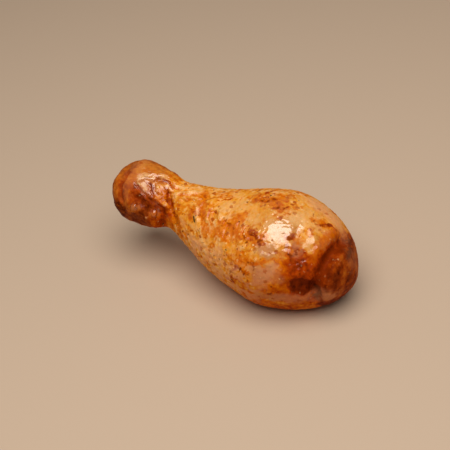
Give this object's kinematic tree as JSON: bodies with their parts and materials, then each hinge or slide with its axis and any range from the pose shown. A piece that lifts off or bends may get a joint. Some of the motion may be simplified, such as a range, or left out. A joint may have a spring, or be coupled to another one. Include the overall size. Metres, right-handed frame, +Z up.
{
  "type": "roast chicken drumstick",
  "caption": "Roast, glazed chicken drumstick lying on its side, with a knobbly hock knuckle, narrow neck, plump calf and folded skin round the thigh end.",
  "frame": {"origin": "middle of the bounding box, on the surface that the drumstick lies on", "axes": "+X along the drumstick towards the thigh end, with the hock knuckle at -X; -Y is the front, the side with the folds; +Z up"},
  "size_m": [0.1254, 0.0592, 0.0491],
  "materials": {
    "skin": "oily, browned roast skin with a marinade glaze"
  },
  "bodies": {
    "root": {"drumstick": "skin"}
  },
  "joints": []
}
